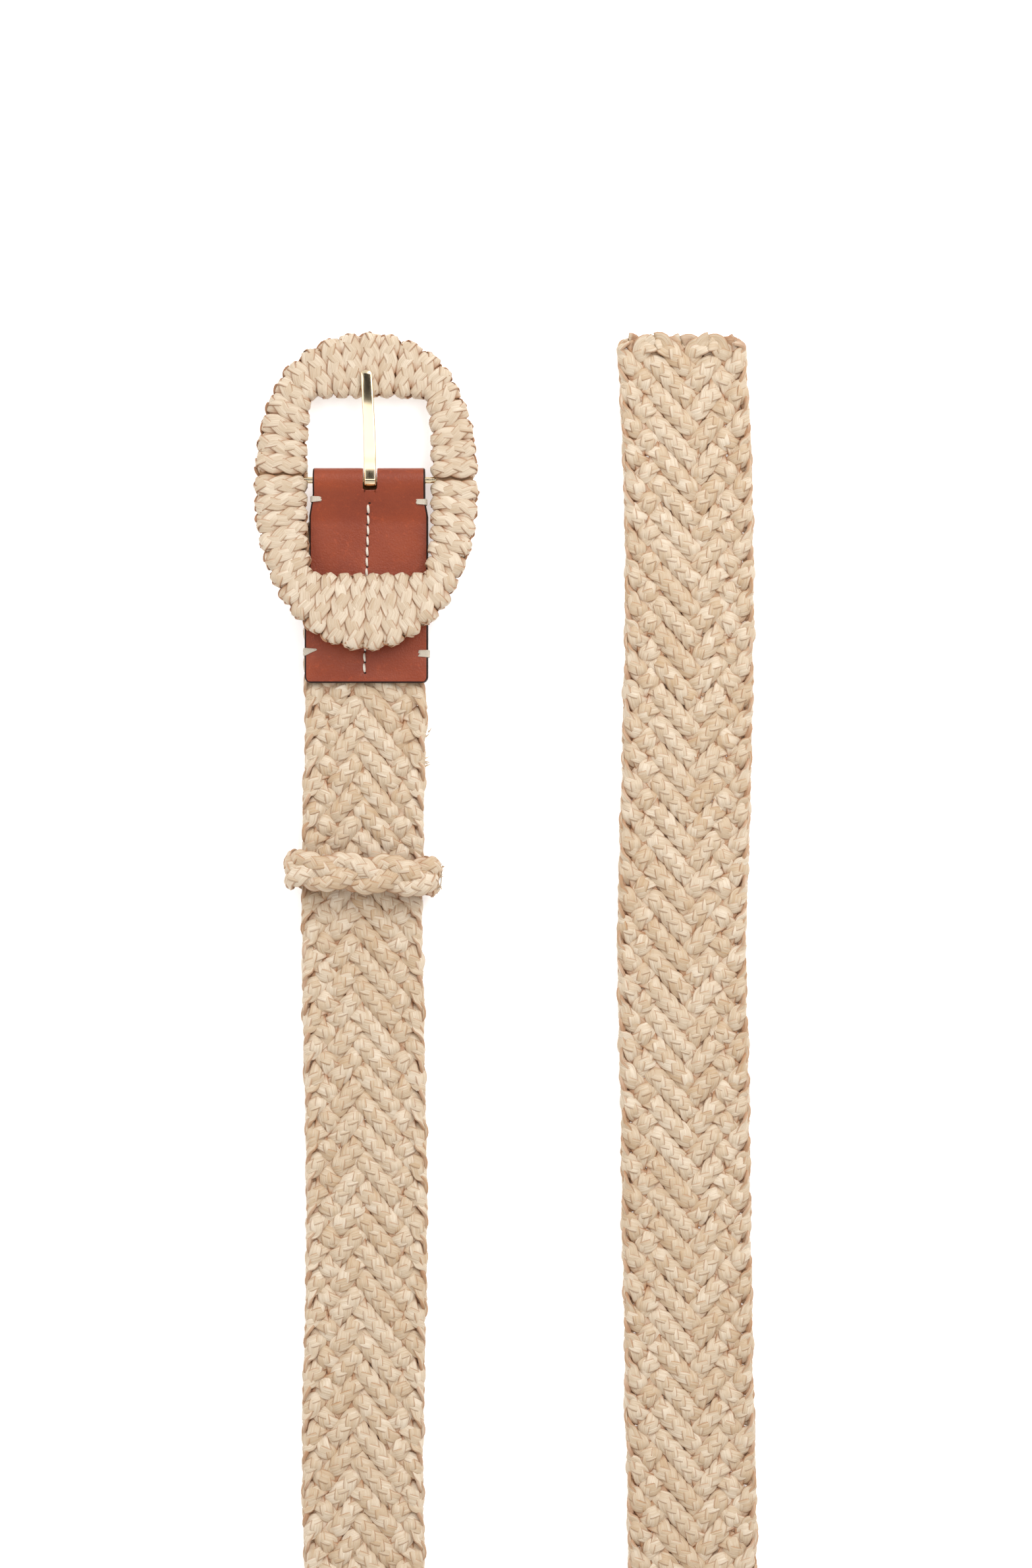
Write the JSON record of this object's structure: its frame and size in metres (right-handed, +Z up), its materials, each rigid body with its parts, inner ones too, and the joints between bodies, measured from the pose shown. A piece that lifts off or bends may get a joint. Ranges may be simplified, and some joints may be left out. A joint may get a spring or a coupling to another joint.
{
  "type": "plaited belt",
  "caption": "Flat plaited raffia waist belt with an oval raffia-wound buckle, a metal prong, a folded leather tab and a loose plaited keeper, laid in a U.",
  "frame": {"origin": "under the middle of the belt's bounding box, on the surface it lies on", "axes": "+Z up from that surface, +Y along the two straight runs towards the buckle and the tip, +X from the buckle run to the tip run"},
  "size_m": [0.1818, 0.5774, 0.0475],
  "materials": {
    "strap_raffia": "plaited raffia straw, slight sheen",
    "buckle_raffia": "plaited raffia cord, slight sheen",
    "keeper_raffia": "plaited raffia cord, slight sheen",
    "tan_leather": "smooth grain, dark painted edges",
    "lining_leather": "thin split, matt",
    "tape_cotton": "plain weave tape",
    "cream_thread": "waxed sewing thread",
    "tack_thread": "sewing thread",
    "core_board": "moulded ring, hidden",
    "pale_gold": "polished pale gold plating"
  },
  "bodies": {
    "strap": {"strap_plait": "strap_raffia", "strap_end_tape": "tape_cotton", "leather_tab": "tan_leather", "tab_lining": "lining_leather", "tab_needle_thread": "cream_thread", "tab_bobbin_thread": "cream_thread", "tack_upper_left": "tack_thread", "tack_upper_right": "tack_thread", "tack_lower_left": "tack_thread", "tack_lower_right": "tack_thread", "tip_lock_thread": "tack_thread"},
    "buckle": {"buckle_core": "core_board", "buckle_bar": "pale_gold", "buckle_wrap_upper": "buckle_raffia", "buckle_wrap_lower": "buckle_raffia"},
    "tongue": {"prong": "pale_gold"},
    "keeper": {"keeper_plait": "keeper_raffia", "keeper_joint_thread": "tack_thread"}
  },
  "joints": [
    {"name": "buckle_swing", "type": "hinge", "parent": "strap", "child": "buckle", "pos_m": [-0.0497, 0.23449, 0.01005], "axis": [-1, 0, 0], "range_deg": [0, 95]},
    {"name": "prong_pivot", "type": "hinge", "parent": "buckle", "child": "tongue", "pos_m": [-0.0483, 0.23449, 0.01005], "axis": [1, 0, 0], "range_deg": [0, 90]},
    {"name": "keeper_slide", "type": "slide", "parent": "strap", "child": "keeper", "axis": [0, 1, 0], "range_m": [-0.24, 0.058]}
  ]
}
